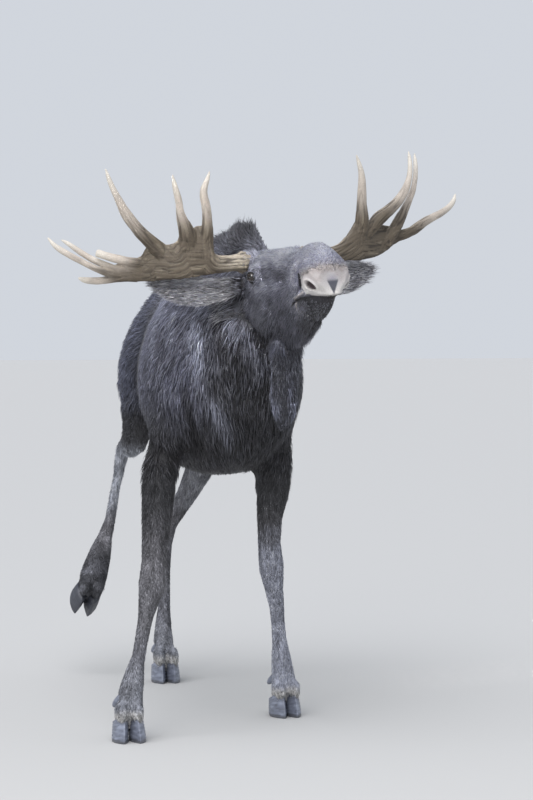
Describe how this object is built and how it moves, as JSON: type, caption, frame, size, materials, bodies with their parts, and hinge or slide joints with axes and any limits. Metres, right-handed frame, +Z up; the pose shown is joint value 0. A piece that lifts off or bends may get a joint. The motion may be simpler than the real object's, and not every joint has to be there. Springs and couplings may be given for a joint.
{
  "type": "moose",
  "caption": "Standing bull moose, head raised and turned, with palmate antlers, a throat bell, cloven hooves and one hind foot lifted.",
  "frame": {"origin": "on the floor, under the middle of the bounding box", "axes": "+Z up; the animal looks along -Y; its left side is +X; the soles of the standing feet are at z = 0"},
  "size_m": [1.6216, 2.6116, 2.1878],
  "materials": {
    "body_coat": "coarse dark grey-brown fur",
    "head_coat": "short grey-brown fur, pale muzzle",
    "leg_coat": "short flat grey-beige fur",
    "antler_bone": "weathered tan bone with dark grooves",
    "antler_tine": "polished ivory bone",
    "hoof_horn": "worn blue-grey horn",
    "eye": "wet dark brown"
  },
  "bodies": {
    "root": {"antler_left_palm": "antler_bone", "antler_right_palm": "antler_bone", "antler_tine_left_1": "antler_tine", "antler_tine_left_2": "antler_tine", "antler_tine_left_3": "antler_tine", "antler_tine_left_4": "antler_tine", "antler_tine_right_1": "antler_tine", "antler_tine_right_2": "antler_tine", "antler_tine_right_3": "antler_tine", "antler_tine_right_4": "antler_tine", "antler_tine_right_5": "antler_tine", "antler_tine_right_6": "antler_tine", "antler_tine_right_7": "antler_tine", "barrel": "body_coat", "bell": "body_coat", "dewclaw_fore_left_left": "hoof_horn", "dewclaw_fore_left_right": "hoof_horn", "dewclaw_fore_right_left": "hoof_horn", "dewclaw_fore_right_right": "hoof_horn", "dewclaw_hind_left_left": "hoof_horn", "dewclaw_hind_left_right": "hoof_horn", "dewclaw_hind_right_left": "hoof_horn", "dewclaw_hind_right_right": "hoof_horn", "ear_left": "head_coat", "ear_right": "head_coat", "eye_left": "eye", "eye_right": "eye", "foreleg_left_cannon": "leg_coat", "foreleg_left_pastern": "leg_coat", "foreleg_left_upper": "leg_coat", "foreleg_right_cannon": "leg_coat", "foreleg_right_pastern": "leg_coat", "foreleg_right_upper": "leg_coat", "forequarter": "body_coat", "head": "head_coat", "hindleg_left_cannon": "leg_coat", "hindleg_left_gaskin": "leg_coat", "hindleg_left_pastern": "leg_coat", "hindleg_right_cannon": "leg_coat", "hindleg_right_gaskin": "leg_coat", "hindleg_right_pastern": "leg_coat", "hindquarter": "body_coat", "hoof_fore_left_left": "hoof_horn", "hoof_fore_left_right": "hoof_horn", "hoof_fore_right_left": "hoof_horn", "hoof_fore_right_right": "hoof_horn", "hoof_hind_left_left": "hoof_horn", "hoof_hind_left_right": "hoof_horn", "hoof_hind_right_left": "hoof_horn", "hoof_hind_right_right": "hoof_horn", "neck": "body_coat", "tail": "body_coat"}
  },
  "joints": []
}
